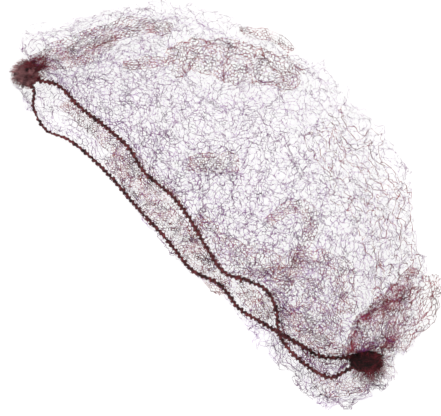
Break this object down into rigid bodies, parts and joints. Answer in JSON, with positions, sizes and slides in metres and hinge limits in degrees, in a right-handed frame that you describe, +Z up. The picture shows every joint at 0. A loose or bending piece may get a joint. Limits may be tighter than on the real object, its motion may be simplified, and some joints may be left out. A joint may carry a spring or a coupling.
{
  "type": "hair bun net",
  "caption": "Fine net bag for a hair bun, lying as put down: open mouth edged with thin elastic, with a tight gather at each corner of the mouth.",
  "frame": {"origin": "on the surface that the net lies on, under the middle of its bounding box", "axes": "+X along the mouth from the left gather to the right one, +Y from the mouth to the far fold of the bag, +Z up from the surface"},
  "size_m": [0.2484, 0.1346, 0.0363],
  "materials": {
    "net": "fine nylon net thread",
    "elastic": "thread-covered elastic cord",
    "gather": "bunched nylon net, bound tight"
  },
  "bodies": {
    "root": {"net_bag": "net", "elastic_edge": "elastic", "left_gather": "gather", "right_gather": "gather"}
  },
  "joints": []
}
